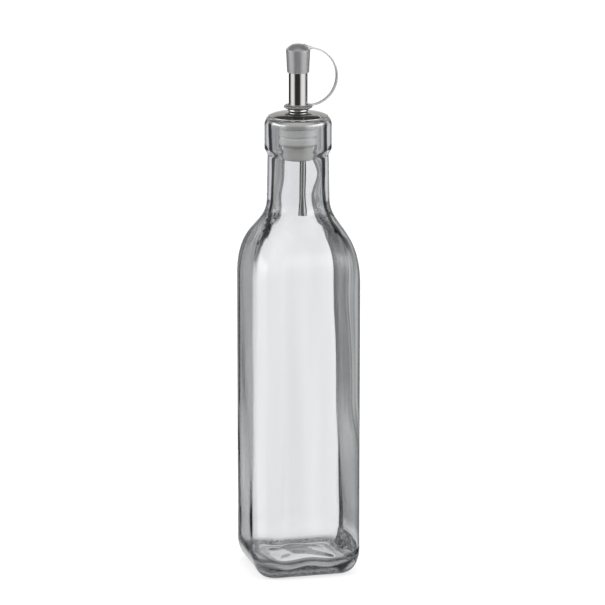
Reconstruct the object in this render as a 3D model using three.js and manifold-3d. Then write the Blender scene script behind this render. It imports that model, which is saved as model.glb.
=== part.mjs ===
// Square glass bottle for oil or vinegar, with a lift-out steel pourer and a tethered cap.
// Millimetres, +Z up. The origin is the middle of the base, on the surface the bottle stands on,
// and the cap's strap lies in the XZ plane on the +X side.

import * as THREE from "three";
import { mergeVertices } from "three/addons/utils/BufferGeometryUtils.js";
import Module from "manifold-3d";

const wasm = await Module();
wasm.setup();

// Bottle, outside
const bodySide = 60; // across the flat faces
const bodyCornerRadius = 12.8;
const bodyHeight = 161.6; // from the table to the start of the shoulder
const heelWidth = 8; // rounding between the walls and the base
const heelHeight = 13;
const bearingWidth = 4; // flat ring that the bottle stands on
const pushUpHeight = 2.5; // hollow in the middle of the base
const shoulderHeight = 46;
const shoulderLowerPull = 31.4; // how far the body's line carries on into the shoulder
const shoulderUpperPull = 16.7; // how far the neck's line carries on into the shoulder
const neckHeight = 22.8;
const neckFootRadius = 17.1;
const neckTopRadius = 16.7;
const finishHeight = 21; // thick ring of glass round the mouth
const finishRadius = 18.3;
const finishStepHeight = 4; // rounded step from the neck out to the ring
const rimRoundWidth = 2;
const rimRoundHeight = 4.5;

// Bottle, inside
const wallThickness = 3.4;
const innerCornerRadius = 13;
const baseThickness = 6; // the floor inside follows the push-up
const innerHeelRadius = 9;
const neckBoreRadius = 8.6;
const mouthRadius = 10.3; // wider bore that the plug is pushed into
const mouthDepth = 16.5;
const mouthTaper = 5; // height of the cone from the mouth down to the neck's bore
const mouthLipRadius = 0.8;

// Pourer, heights from the rim of the glass
const seatGap = 0.3; // between pieces that only rest on each other
const slideGap = 0.25; // round what slides, turns or is pressed in
const domeRise = 2.2;
const sheetThickness = 0.6;
const spoutRadius = 5.15;
const spoutWall = 0.5;
const spoutHeight = 35.2; // open end of the spout above the rim
const spoutRoot = 13; // how far the spout is pushed into the plug
const collarOverhang = 0.55; // bead round the foot of the spout
const collarHeight = 1.2;
const ventRadius = 1.7;
const ventWall = 0.4;
const ventDrop = 30; // air tube below the plug
const ventTopInset = 1.5; // its upper end, inside the mouth of the spout

// Plug
const plugTopDepth = 2.4; // the head stays this far below the rim
const plugHeadDepth = 5.7; // plain part above the fins
const headChamfer = 0.6;
const finCount = 2;
const finPitch = 4.6;
const finBand = 2.7; // upright part of a fin, above its cone
const finTaper = 1.3; // how far the cone comes in
const noseRadius = 8.2;
const noseLength = 7.9;
const noseStep = 0.3; // small step round the nose
const noseStepDrop = 5.2;
const noseRounding = 2;
const webThickness = 0.5; // between the pour channel and the air tube

// Cap, strap and ring, one soft moulding
const ringThickness = 2.1;
const ringWidth = 2.5;
const ringEdge = 1.1; // rounded outer part of the ring's width
const capHeight = 15.6;
const capDepth = 11; // how far the spout reaches into the cap
const capMouthWall = 0.6;
const capBodyWall = 1.2;
const capBevelWidth = 4;
const capBevelHeight = 3.1;
const capBevelPower = 1.5; // 1 is a quarter round, 2 a straight bevel
const capCrown = 0.3;
const capMouthRound = 0.5;
const strapThickness = 1.2; // in the middle of the strap
const strapEndThickness = 0.9;
const strapWidth = 3.2;
const strapReach = 22.1; // outermost face of the strap from the spout's axis
const strapEndReach = 8.3; // where the strap leaves its tabs
const strapDrop = 2.8; // from the cap's crown to the strap's upper end

// Fineness of the facets
const flatSteps = 3;
const cornerSteps = 3;
const curveSteps = 12;
const roundSteps = 5;
const turnSteps = 36;
const tubeSteps = 20;
const strapSteps = 22;

// Values that follow from the sizes above
const bodyHalf = bodySide / 2;
const bodyFlat = bodyHalf - bodyCornerRadius; // half of the flat stretch of a wall
const innerHalf = bodyHalf - wallThickness;
const innerFlat = innerHalf - innerCornerRadius;
const shoulderTop = bodyHeight + shoulderHeight;
const finishFoot = shoulderTop + neckHeight;
const rimHeight = finishFoot + finishHeight;
const spoutInner = spoutRadius - spoutWall;
const domeRadius = finishRadius - rimRoundWidth;
const domeHole = spoutRadius + slideGap;
const ventOffset = spoutInner - ventRadius - seatGap;
const ventHole = ventRadius + slideGap;
const plugBore = spoutRadius + slideGap;
const finRadius = mouthRadius - slideGap;
const noseTop = -plugHeadDepth - finCount * finPitch;
const plugBottom = noseTop - noseLength;
const plugFloor = -spoutRoot - seatGap;
const collarFoot = domeHeight(spoutRadius + collarOverhang) + slideGap;
const ringFoot = collarFoot + collarHeight + slideGap;
const ringBore = spoutRadius + slideGap;
const ringRadius = ringBore + ringWidth;
const capCeiling = spoutHeight + seatGap;
const capFoot = spoutHeight - capDepth;
const capTop = capFoot + capHeight;
const capBore = spoutRadius + slideGap;
const capMouthRadius = capBore + capMouthWall;
const capRadius = capBore + capBodyWall;
const strapLow = ringFoot + ringThickness - strapEndThickness / 2;
const strapHigh = capTop - strapDrop;

// Height of the dome's upper face at a radius: nearly flat in the middle, steeper at the edge.
function domeHeight(radius) {
  return seatGap + sheetThickness + domeRise * (1 - (radius / domeRadius) ** 4);
}

function material(color, roughness, metalness, opacity = 1) {
  return new THREE.MeshStandardMaterial({
    color,
    roughness,
    metalness,
    opacity,
    transparent: opacity < 1,
  });
}

const clearGlass = material(0xe6eaec, 0.05, 0, 0.35);
const polishedSteel = material(0xb9b7b4, 0.18, 1);
const frostedPlastic = material(0xc9cac8, 0.45, 0);
const greySilicone = material(0x9c9d9e, 0.5, 0);

function named(name, geometry, finish) {
  const mesh = new THREE.Mesh(geometry, finish);
  mesh.name = name;
  return mesh;
}

// Closed solid for joining and cutting, and back again.
function solidOf(geometry) {
  const bare = new THREE.BufferGeometry();
  const source = geometry.index ? geometry.toNonIndexed() : geometry;
  bare.setAttribute("position", source.getAttribute("position"));
  const merged = mergeVertices(bare, 1e-4);
  return new wasm.Manifold(
    new wasm.Mesh({
      numProp: 3,
      vertProperties: merged.attributes.position.array,
      triVerts: new Uint32Array(merged.index.array),
    }),
  );
}

function geometryOf(solid) {
  const mesh = solid.getMesh();
  const geometry = new THREE.BufferGeometry();
  geometry.setAttribute("position", new THREE.BufferAttribute(mesh.vertProperties, 3));
  geometry.setIndex(new THREE.BufferAttribute(mesh.triVerts, 1));
  return geometry;
}

// A profile of [radius, height] points turned about the Z axis.
function turned(profile, steps = turnSteps) {
  const points = profile.map(([radius, height]) => new THREE.Vector2(radius, height));
  return new THREE.LatheGeometry(points, steps).rotateX(Math.PI / 2);
}

// A flat outline in X and Z, given a width along Y and centred on Y = 0.
function slab(shape, width) {
  const flat = new THREE.ExtrudeGeometry(shape, {
    depth: width,
    bevelEnabled: false,
    curveSegments: strapSteps,
  });
  return flat.rotateX(Math.PI / 2).translate(0, width / 2, 0);
}

// Points of a quarter ellipse from [across + width, low] up to [across, low + height]. A higher
// power flattens it towards a straight bevel.
function quarterRound(across, low, width, height, power = 1) {
  return Array.from({ length: roundSteps + 1 }, (_, i) => {
    const turn = ((Math.PI / 2) * i) / roundSteps;
    const out = Math.cos(turn) ** power;
    const up = Math.sin(turn) ** power;
    return [across + width * (i < roundSteps ? out : 0), low + height * up];
  });
}

// Directions of the points of one ring of the bottle, closest together round its corners.
function ringAngles() {
  const tangent = Math.atan2(bodyFlat, bodyHalf);
  const octant = [];
  for (let i = 0; i < flatSteps; i++) octant.push((tangent * i) / flatSteps);
  for (let i = 0; i <= cornerSteps; i++) {
    octant.push(tangent + ((Math.PI / 4 - tangent) * i) / cornerSteps);
  }
  const mirrored = octant.slice(1, -1).reverse();
  const quadrant = [...octant, ...mirrored.map((angle) => Math.PI / 2 - angle)];
  return [0, 1, 2, 3].flatMap((turn) => quadrant.map((angle) => angle + (turn * Math.PI) / 2));
}

// Distance from the axis to a square with round corners: half is its half width and flat is
// half of the straight stretch of a side, so flat 0 makes it a circle.
function squareReach(half, flat, angle) {
  const quarter = Math.PI / 2;
  const folded = Math.abs(((angle + quarter / 2) % quarter) - quarter / 2);
  if (half * Math.tan(folded) <= flat) return half / Math.cos(folded);
  const centre = flat * Math.SQRT2;
  const aside = centre * Math.sin(folded - quarter / 2);
  return centre * Math.cos(folded - quarter / 2) + Math.sqrt((half - flat) ** 2 - aside ** 2);
}

// Skin over a stack of [half, flat, height] stations, closed by a point at each end.
function lofted(stations, firstHeight, lastHeight) {
  const angles = ringAngles();
  const count = angles.length;
  const positions = [0, 0, firstHeight];
  for (const [half, flat, height] of stations) {
    for (const angle of angles) {
      const reach = squareReach(half, flat, angle);
      positions.push(reach * Math.cos(angle), reach * Math.sin(angle), height);
    }
  }
  const last = positions.length / 3;
  positions.push(0, 0, lastHeight);
  const faces = [];
  for (let k = 0; k < count; k++) {
    const next = (k + 1) % count;
    faces.push(0, 1 + next, 1 + k);
    for (let row = 0; row < stations.length - 1; row++) {
      const low = 1 + row * count;
      const high = low + count;
      faces.push(low + k, low + next, high + next, low + k, high + next, high + k);
    }
    faces.push(last - count + k, last - count + next, last);
  }
  const geometry = new THREE.BufferGeometry();
  geometry.setAttribute("position", new THREE.Float32BufferAttribute(positions, 3));
  geometry.setIndex(faces);
  return geometry;
}

// Shallow dome in the base, from just outside its middle to a square of half width foot.
function pushUpStations(foot, flat, low) {
  return Array.from({ length: roundSteps }, (_, i) => {
    const share = (i + 1) / roundSteps;
    return [foot * share, flat * share ** 2, low + pushUpHeight * Math.cos((share * Math.PI) / 2)];
  });
}

// Shoulder from a square body to a round neck: a smooth double curve, whose straight stretch of
// side shrinks to nothing as the half width comes in to the neck.
function shoulderStations(half, flat, neckRadius) {
  const curve = new THREE.CubicBezierCurve(
    new THREE.Vector2(half, bodyHeight),
    new THREE.Vector2(half, bodyHeight + shoulderLowerPull),
    new THREE.Vector2(neckRadius, shoulderTop - shoulderUpperPull),
    new THREE.Vector2(neckRadius, shoulderTop),
  );
  const points = curve.getPoints(curveSteps);
  return points.map(({ x, y }) => [x, (flat * (x - neckRadius)) / (half - neckRadius), y]);
}

function glassBottle() {
  const bearingOuter = bodyHalf - heelWidth;
  const bearingInner = bearingOuter - bearingWidth;
  const bearingFlat = (bodyFlat * bearingInner) / bearingOuter;
  const round = ([half, height]) => [half, 0, height];
  const heel = quarterRound(0, 0, heelHeight, heelWidth).map(([drop, out]) => [
    bearingOuter + out,
    Math.min(bodyFlat, bearingOuter),
    heelHeight - drop,
  ]);
  const step = quarterRound(0, 0, 1, 1).map(([across, up]) => [
    neckTopRadius + (finishRadius - neckTopRadius) * (1 - across),
    finishFoot + finishStepHeight * up,
  ]);
  const rimEdge = quarterRound(
    finishRadius - rimRoundWidth,
    rimHeight - rimRoundHeight,
    rimRoundWidth,
    rimRoundHeight,
  );
  const lip = quarterRound(0, 0, mouthLipRadius, mouthLipRadius).map(([up, inward]) => [
    mouthRadius + mouthLipRadius - inward,
    rimHeight - mouthLipRadius + up,
  ]);
  const floorHalf = innerHalf - innerHeelRadius;
  const floorFlat = Math.min(innerFlat, floorHalf);
  const innerHeel = quarterRound(floorHalf, 0, innerHeelRadius, innerHeelRadius);
  const stations = [
    ...pushUpStations(bearingInner, bearingFlat, 0),
    ...heel,
    ...shoulderStations(bodyHalf, bodyFlat, neckFootRadius),
    ...step.map(round),
    ...rimEdge.map(round),
    ...lip.map(round),
    [mouthRadius, 0, rimHeight - mouthDepth],
    [neckBoreRadius, 0, rimHeight - mouthDepth - mouthTaper],
    ...shoulderStations(innerHalf, innerFlat, neckBoreRadius).reverse(),
    ...innerHeel.map(([half, drop]) => [half, floorFlat, baseThickness + innerHeelRadius - drop]),
    ...pushUpStations(floorHalf, floorFlat, baseThickness).slice(0, -1).reverse(),
  ];
  return lofted(stations, pushUpHeight, pushUpHeight + baseThickness);
}

// Polished sheet dome that caps the mouth and holds the pourer's weight on the rim.
function dripDome() {
  const radii = Array.from({ length: curveSteps / 2 + 1 }, (_, i) => {
    return domeHole + ((domeRadius - domeHole) * i) / (curveSteps / 2);
  });
  const lower = radii.map((radius) => [radius, domeHeight(radius) - sheetThickness]);
  const upper = radii.map((radius) => [radius, domeHeight(radius)]);
  const loop = [...lower, ...upper.reverse()];
  return turned([...loop, loop[0]]);
}

// Straight steel tube with a bead at its foot, which traps the dome and carries the cap's ring.
function spoutTube() {
  const bead = collarHeight / 2;
  const beadRound = Array.from({ length: roundSteps + 1 }, (_, i) => {
    const turn = (Math.PI * i) / roundSteps - Math.PI / 2;
    return [spoutRadius + collarOverhang * Math.cos(turn), collarFoot + bead + bead * Math.sin(turn)];
  });
  const loop = [
    [spoutInner, -spoutRoot],
    [spoutRadius, -spoutRoot],
    ...beadRound,
    [spoutRadius, spoutHeight],
    [spoutInner, spoutHeight],
  ];
  return turned([...loop, loop[0]]);
}

// Soft plug: a plain head, fins that narrow downwards, and a nose with the pour channel and the
// hole that grips the air tube.
function stopperPlug() {
  const fins = Array.from({ length: finCount }, (_, i) => {
    const top = -plugHeadDepth - i * finPitch;
    return [
      [finRadius, top],
      [finRadius, top - finBand],
      [finRadius - finTaper, top - finPitch],
    ];
  });
  const tip = noseRadius - noseStep;
  const profile = [
    [0, plugFloor],
    [plugBore, plugFloor],
    [plugBore, -plugTopDepth],
    [finRadius, -plugTopDepth],
    [finRadius, headChamfer - plugHeadDepth],
    [finRadius - headChamfer, -plugHeadDepth],
    ...fins.flat(),
    [noseRadius, noseTop],
    [noseRadius, noseTop - noseStepDrop],
    [tip, noseTop - noseStepDrop],
    ...quarterRound(tip - noseRounding, 0, noseRounding, noseRounding).map(([radius, drop]) => [
      radius,
      plugBottom + noseRounding - drop,
    ]),
    [0, plugBottom],
  ];
  const body = solidOf(turned(profile.reverse()));

  const chord = Math.acos((ventOffset - ventHole - webThickness) / spoutInner);
  const channel = new THREE.Shape().absarc(0, 0, spoutInner, chord, 2 * Math.PI - chord);
  const hole = new THREE.Shape().absarc(ventOffset, 0, ventHole, 0, 2 * Math.PI);
  const cutters = new THREE.ExtrudeGeometry([channel, hole], {
    depth: plugFloor - plugBottom + 2 * seatGap,
    bevelEnabled: false,
    curveSegments: tubeSteps,
  });
  cutters.translate(0, 0, plugBottom - seatGap);
  return geometryOf(body.subtract(solidOf(cutters)));
}

function ventTube() {
  const low = plugBottom - ventDrop;
  const high = spoutHeight - ventTopInset;
  const inner = ventRadius - ventWall;
  const loop = [
    [inner, low],
    [ventRadius, low],
    [ventRadius, high],
    [inner, high],
  ];
  return turned([...loop, loop[0]], tubeSteps);
}

// Flat ring that turns freely on the spout, with the tab where the strap begins.
function strapRing() {
  const middle = ringFoot + ringThickness / 2;
  const upper = quarterRound(ringRadius - ringEdge, 0, ringEdge, ringThickness / 2);
  const loop = [
    [ringBore, ringFoot],
    ...upper.map(([radius, up]) => [radius, middle - up]).reverse(),
    ...upper.slice(1).map(([radius, up]) => [radius, middle + up]),
    [ringBore, ringFoot + ringThickness],
  ];
  const ring = solidOf(turned([...loop, loop[0]]));
  const root = ringBore + ringWidth / 3;
  const tab = new THREE.Shape();
  tab.moveTo(root, middle);
  tab.lineTo(ringRadius, middle);
  tab.lineTo(strapEndReach, strapLow - strapEndThickness / 2);
  tab.lineTo(strapEndReach, strapLow + strapEndThickness / 2);
  tab.lineTo(root, strapLow + strapEndThickness / 2);
  return geometryOf(ring.add(solidOf(slab(tab, strapWidth))));
}

// Soft cap, widest under its bevelled crown, with a tab that runs down from the crown.
function spoutCap() {
  const shoulder = capTop - capCrown - capBevelHeight;
  const crown = capRadius - capBevelWidth;
  const outside = [
    [capMouthRadius - capMouthRound / 2, capFoot],
    [capMouthRadius, capFoot + capMouthRound],
    ...quarterRound(crown, shoulder, capBevelWidth, capBevelHeight, capBevelPower),
    [0, capTop],
  ];
  const profile = [[0, capCeiling], [capBore, capCeiling], [capBore, capFoot], ...outside];
  const body = solidOf(turned(profile));
  const tab = new THREE.Shape();
  tab.moveTo(0, capCeiling + capCrown);
  tab.lineTo(capRadius, shoulder);
  tab.lineTo(strapEndReach, strapHigh - strapEndThickness / 2);
  tab.lineTo(strapEndReach, strapHigh + strapEndThickness / 2);
  tab.lineTo(crown, capTop - capCrown / 2);
  tab.lineTo(0, capTop - capCrown / 2);
  return geometryOf(body.add(solidOf(slab(tab, strapWidth))));
}

// Centre, radius and half angle of the arc through [endX, +-halfChord] and [midX, 0].
function arcThrough(endX, midX, halfChord) {
  const bulge = midX - endX;
  const radius = (halfChord ** 2 + bulge ** 2) / (2 * bulge);
  const centre = midX - radius;
  return { centre, radius, sweep: Math.atan2(halfChord, endX - centre) };
}

// Round strap between the two tabs: its outer and inner faces are arcs of their own, so it is
// thickest in the middle.
function capStrap() {
  const endX = strapEndReach + seatGap;
  const centreZ = (strapHigh + strapLow) / 2;
  const chord = strapHigh - strapLow;
  const outer = arcThrough(endX, strapReach, (chord + strapEndThickness) / 2);
  const inner = arcThrough(endX, strapReach - strapThickness, (chord - strapEndThickness) / 2);
  const band = new THREE.Shape();
  band.absarc(outer.centre, centreZ, outer.radius, -outer.sweep, outer.sweep, false);
  band.absarc(inner.centre, centreZ, inner.radius, inner.sweep, -inner.sweep, true);
  return slab(band, strapWidth);
}

const bottle = new THREE.Group();
bottle.add(named("glass_bottle", glassBottle(), clearGlass));

const pourer = new THREE.Group();
pourer.position.z = rimHeight;
pourer.add(named("drip_dome", dripDome(), polishedSteel));
pourer.add(named("spout_tube", spoutTube(), polishedSteel));
pourer.add(named("stopper_plug", stopperPlug(), frostedPlastic));

const vent = named("vent_tube", ventTube(), polishedSteel);
vent.position.x = ventOffset;
pourer.add(vent);

const tether = new THREE.Group();
tether.add(named("strap_ring", strapRing(), greySilicone));
tether.add(named("cap_strap", capStrap(), greySilicone));
tether.add(named("spout_cap", spoutCap(), greySilicone));
pourer.add(tether);
bottle.add(pourer);

export default bottle;
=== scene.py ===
import math
import bpy
import numpy as np
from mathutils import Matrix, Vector


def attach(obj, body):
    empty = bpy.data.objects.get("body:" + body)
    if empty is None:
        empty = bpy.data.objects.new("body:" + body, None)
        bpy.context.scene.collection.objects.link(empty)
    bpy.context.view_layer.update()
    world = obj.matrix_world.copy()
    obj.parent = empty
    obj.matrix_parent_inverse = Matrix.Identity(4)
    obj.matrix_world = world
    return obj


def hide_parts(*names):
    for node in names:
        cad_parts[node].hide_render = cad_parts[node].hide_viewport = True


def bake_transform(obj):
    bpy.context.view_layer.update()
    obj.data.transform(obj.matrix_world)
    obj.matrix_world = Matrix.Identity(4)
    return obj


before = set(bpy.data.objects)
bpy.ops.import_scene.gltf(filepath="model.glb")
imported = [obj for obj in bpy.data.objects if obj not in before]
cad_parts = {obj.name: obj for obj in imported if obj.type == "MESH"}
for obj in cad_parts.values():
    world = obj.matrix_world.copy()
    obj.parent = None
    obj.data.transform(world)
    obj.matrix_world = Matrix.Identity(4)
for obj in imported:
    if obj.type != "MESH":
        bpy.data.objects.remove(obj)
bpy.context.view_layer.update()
scene = bpy.context.scene
scene.view_settings.view_transform = "Standard"
scene.cycles.max_bounces = 24
scene.cycles.transmission_bounces = 24
scene.cycles.glossy_bounces = 12
scene.cycles.transparent_max_bounces = 16
mm = 0.001
rim = 251.4  # top of the glass, where the pourer's heights are counted from
seatGap = 0.3  # between pieces that rest on each other
slideGap = 0.25  # round what slides, turns or is pressed in

# Camera: azimuth and pitch in degrees, lens and sensor in millimetres, the rest in metres; it stands a little
# aside of the axis.
shot = {
    "azimuth": -14.31, "pitch": 13.06, "distance": 1.7825, "aim": 0.14887, "aside": 0.00235,
    "lens": 194.6, "sensor": 36, "nearest": 0.05, "farthest": 60,
}
azimuth = math.radians(shot["azimuth"])
pitch = math.radians(shot["pitch"])
back = Vector((math.sin(azimuth) * math.cos(pitch), -math.cos(azimuth) * math.cos(pitch), math.sin(pitch)))
aside = Vector((math.cos(azimuth), math.sin(azimuth), 0))
cameraData = bpy.data.cameras.new("camera")
cameraData.lens = shot["lens"]
cameraData.sensor_width = shot["sensor"]
cameraData.clip_start = shot["nearest"]
cameraData.clip_end = shot["farthest"]
camera = bpy.data.objects.new("camera", cameraData)
camera.location = Vector((0, 0, shot["aim"])) + back * shot["distance"] + aside * shot["aside"]
camera.rotation_euler = back.to_track_quat("Z", "Y").to_euler()
scene.collection.objects.link(camera)
scene.camera = camera
print("camera set")


# Skin over a grid of points (rows x columns x 3, millimetres): a quad between each four neighbours, wrapped
# round the columns. Without poles it wraps round the rows too; with poles a fan closes the first and the last
# row.
def skin(name, grid, poles=None):
    rows, cols = grid.shape[:2]
    here = np.arange(rows * cols).reshape(rows, cols)
    beside = np.roll(here, -1, axis=1)
    above = np.roll(here, -1, axis=0)
    across = np.roll(above, -1, axis=1)
    quads = np.stack([here, beside, across, above], axis=-1)
    points = grid.reshape(-1, 3)
    fans = np.zeros((0, 3), int)
    if poles is not None:
        quads = quads[:-1]
        first = np.stack([np.full(cols, rows * cols), beside[0], here[0]], axis=-1)
        last = np.stack([np.full(cols, rows * cols + 1), here[-1], beside[-1]], axis=-1)
        fans = np.concatenate([first, last])
        points = np.concatenate([points, poles])
    quads = quads.reshape(-1, 4)
    loops = np.concatenate([quads.ravel(), fans.ravel()])
    starts = np.concatenate([np.arange(len(quads)) * 4, len(quads) * 4 + np.arange(len(fans)) * 3])
    mesh = bpy.data.meshes.new(name)
    mesh.vertices.add(len(points))
    mesh.vertices.foreach_set("co", (points * mm).astype(np.float32).ravel())
    mesh.loops.add(len(loops))
    mesh.loops.foreach_set("vertex_index", loops.astype(np.int32))
    mesh.polygons.add(len(starts))
    mesh.polygons.foreach_set("loop_start", starts.astype(np.int32))
    mesh.update(calc_edges=True)
    mesh.validate()
    mesh.shade_smooth()
    piece = bpy.data.objects.new(name, mesh)
    scene.collection.objects.link(piece)
    return piece


# Rows of (radius, height) turned about an upright axis at x = centre.
def turnedGrid(profile, cols, centre=0.0):
    angle = 2 * np.pi * np.arange(cols) / cols
    radius = profile[:, :1]
    up = np.repeat(profile[:, 1:2], cols, axis=1)
    return np.stack([centre + radius * np.cos(angle), radius * np.sin(angle), up], axis=-1)


# Corners of (across, up, cut): each corner becomes a parabola that starts cut before it and ends cut after
# it, with one more row on the straight just outside it. An open profile keeps its two ends as they are.
def softProfile(corners, closed=True, steps=6):
    table = np.array(corners, float)
    points = table[:, :2]
    cut = table[:, 2:]
    toLast = np.roll(points, 1, axis=0) - points
    toNext = np.roll(points, -1, axis=0) - points
    toLast /= np.linalg.norm(toLast, axis=1, keepdims=True)
    toNext /= np.linalg.norm(toNext, axis=1, keepdims=True)
    before = points + cut * toLast
    after = points + cut * toNext
    t = np.linspace(0, 1, steps + 1)[None, :, None]
    curve = (1 - t) ** 2 * before[:, None] + 2 * t * (1 - t) * points[:, None] + t ** 2 * after[:, None]
    ahead = (before + 0.25 * cut * toLast)[:, None]
    behind = (after + 0.25 * cut * toNext)[:, None]
    rows = np.concatenate([ahead, curve, behind], axis=1)
    if closed:
        return rows.reshape(-1, 2)
    return np.concatenate([points[:1], rows[1:-1].reshape(-1, 2), points[-1:]])


# Quarter ellipse from (across + width, low) to (across, low + height); a higher power flattens it to a bevel.
def quarterRound(across, low, width, height, steps, power=1.0):
    angle = np.linspace(0, np.pi / 2, steps + 1)
    out = np.maximum(np.cos(angle), 0) ** power
    return np.stack([across + width * out, low + height * np.sin(angle) ** power], axis=-1)


# Distance from the axis to a square with round corners: half / cos along the straight stretch, and round the
# corner the far crossing of the ray with the corner's circle.
def squareReach(half, flat, angle):
    folded = np.abs((angle + np.pi / 4) % (np.pi / 2) - np.pi / 4)
    middle = flat * np.sqrt(2)
    off = middle * np.sin(folded - np.pi / 4)
    corner = middle * np.cos(folded - np.pi / 4) + np.sqrt(np.maximum((half - flat) ** 2 - off ** 2, 0))
    return np.where(half * np.tan(folded) <= flat, half / np.cos(folded), corner)


# Smooth step from 0 at low to 1 at high.
def ease(low, high, value):
    t = np.clip((value - low) / (high - low), 0, 1)
    return t * t * (3 - 2 * t)


# Glass bottle, millimetres: the outside, then the inside, then how finely they are divided.
glass = {
    "half": 30.0, "flat": 17.2, "body": 161.6, "heelWidth": 8.0, "heelHeight": 13.0, "bearing": 4.0,
    "pushUp": 2.5, "shoulderTop": 207.6, "lowerPull": 31.4, "upperPull": 16.7, "neckFoot": 17.1,
    "neckTop": 16.7, "finishFoot": 230.4, "stepHeight": 4.6, "finish": 18.3, "rimWidth": 2.0,
    "rimHeight": 4.5, "lip": 0.8, "mouth": 10.3, "mouthDepth": 16.5, "taper": 5.0, "bore": 8.6,
    "innerTop": 210.8, "innerHalf": 26.6, "innerFlat": 13.6, "innerHeel": 9.0, "base": 6.0,
    "columns": 176, "heelSteps": 18, "wallRows": 50, "shoulderRows": 60, "baseRows": 14, "middle": 0.05,
}

# Traces of blowing on the inner skin, millimetres. Pairs say between which heights, or which cosines of the
# turn, a trace eases in or out. Rows of sines are (share, lobes, millimetres up per radian, phase).
blown = {
    "backSharper": (-0.1, 0.5), "frontSharper": 0.3, "mostFlat": 0.86, "sharperUp": (36, 105),
    "corner": (0.71, 0.8), "foot": (12, 30), "neck": (222, 232),
    "wave": 0.1, "waveSines": ((1, 2, 17, 0.6), (0.7, 3, -29, 2), (0.5, 1, 9, 0)),
    "swell": 0.7, "swellSines": ((1, 2, 36, 0.4), (0.5, 1, 15, 1.1)), "swellEnd": (150, 185),
    "thin": 1.9, "thinFoot": (5, 15), "thinEnd": (62, 98), "thinSide": (0.55, 0.9),
    "boreTurn": 14.3, "boreSharp": 9, "rightSpot": (1.4, 221, 7.5), "leftSpot": (1.0, 209, 7.0),
    "floorWave": 0.6, "dents": (3.7, 5.0), "dentShift": 0.7, "floorEnd": (11, 17), "floorMiddle": (1, 6),
}


# Stations of a stretch: rows of (half width, half of the straight stretch, height); round where flat is 0.
def stretchOf(half, flat, up):
    return np.stack(np.broadcast_arrays(half, flat, up), axis=-1)


# Stations up the shoulder: a cubic Bezier in half width and height, whose straight stretch shrinks to nothing
# as the half width comes in to the neck.
def shoulder(half, flat, neck, top):
    t = np.linspace(0, 1, glass["shoulderRows"])
    low = glass["body"] + np.array([0, glass["lowerPull"]])
    high = top - np.array([glass["upperPull"], 0])
    share = np.stack([(1 - t) ** 3, 3 * t * (1 - t) ** 2, 3 * t * t * (1 - t), t ** 3], axis=-1)
    across = share @ np.array([half, half, neck, neck])
    up = share @ np.concatenate([low, high])
    return stretchOf(across, flat * (across - neck) / (half - neck), up)


# Stations of the shallow dome in the base, from just off its middle to a square of half width foot.
def pushUp(foot, flat, low):
    share = np.linspace(glass["middle"], 1, glass["baseRows"])
    return stretchOf(foot * share, flat * share ** 2, low + glass["pushUp"] * np.cos(share * np.pi / 2))


# Outside, from the middle of the base up to the lip of the mouth.
bearing = glass["half"] - glass["heelWidth"]
foot = bearing - glass["bearing"]
heelRound = quarterRound(0, 0, glass["heelHeight"], glass["heelWidth"], glass["heelSteps"])
heel = stretchOf(bearing + heelRound[:, 1], glass["flat"], glass["heelHeight"] - heelRound[:, 0])
wallUp = np.linspace(glass["heelHeight"], glass["body"], glass["wallRows"])[1:-1]
wall = stretchOf(glass["half"], glass["flat"], wallUp)
neckUp = np.linspace(0, 1, 16)[1:]
neck = stretchOf(
    glass["neckFoot"] + (glass["neckTop"] - glass["neckFoot"]) * neckUp, 0,
    glass["shoulderTop"] + (glass["finishFoot"] - glass["shoulderTop"]) * neckUp)
stepUp = np.linspace(0, 1, 13)[1:]
step = stretchOf(
    glass["neckTop"] + (glass["finish"] - glass["neckTop"]) * ease(0, 1, stepUp), 0,
    glass["finishFoot"] + glass["stepHeight"] * stepUp)
rimFoot = rim - glass["rimHeight"]
bandUp = np.linspace(glass["finishFoot"] + glass["stepHeight"] + 1.2, rimFoot - 0.5, 5)
band = stretchOf(glass["finish"], 0, bandUp)
rimRound = quarterRound(
    glass["finish"] - glass["rimWidth"], rimFoot, glass["rimWidth"], glass["rimHeight"], 14)
rimEdge = stretchOf(rimRound[:, 0], 0, rimRound[:, 1])
lipTurn = np.linspace(0, np.pi / 2, 7)
lip = stretchOf(
    glass["mouth"] + glass["lip"] * (1 - np.sin(lipTurn)), 0, rim - glass["lip"] * (1 - np.cos(lipTurn)))
outsideRows = np.concatenate([
    pushUp(foot, glass["flat"] * foot / bearing, 0), heel, wall,
    shoulder(glass["half"], glass["flat"], glass["neckFoot"], glass["shoulderTop"]),
    neck, step, band, rimEdge, lip,
])

# Inside, from the mouth down to the middle of the floor.
coneTop = rim - glass["mouthDepth"]
coneFoot = coneTop - glass["taper"]
cone = softProfile([
    (glass["mouth"], rim - 1.2, 0.1), (glass["mouth"], coneTop, 1.6), (glass["bore"], coneFoot, 1.8),
    (glass["bore"], glass["innerTop"], 0.1),
], closed=False, steps=8)
cone = stretchOf(cone[:, 0], 0, cone[:, 1])
mouthDown = stretchOf(glass["mouth"], 0, np.linspace(rim - 2, coneTop + 2.4, 5))
boreDown = stretchOf(glass["bore"], 0, np.linspace(coneFoot - 2.4, glass["innerTop"] + 0.8, 14))
innerShoulder = shoulder(glass["innerHalf"], glass["innerFlat"], glass["bore"], glass["innerTop"])
floorTop = glass["base"] + glass["innerHeel"]
wallDown = np.linspace(glass["body"], floorTop, glass["wallRows"])[1:-1]
innerWall = stretchOf(glass["innerHalf"], glass["innerFlat"], wallDown)
floorHalf = glass["innerHalf"] - glass["innerHeel"]
innerRound = quarterRound(floorHalf, 0, glass["innerHeel"], glass["innerHeel"], glass["heelSteps"])
innerHeel = stretchOf(innerRound[:, 0], glass["innerFlat"], floorTop - innerRound[:, 1])
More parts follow.
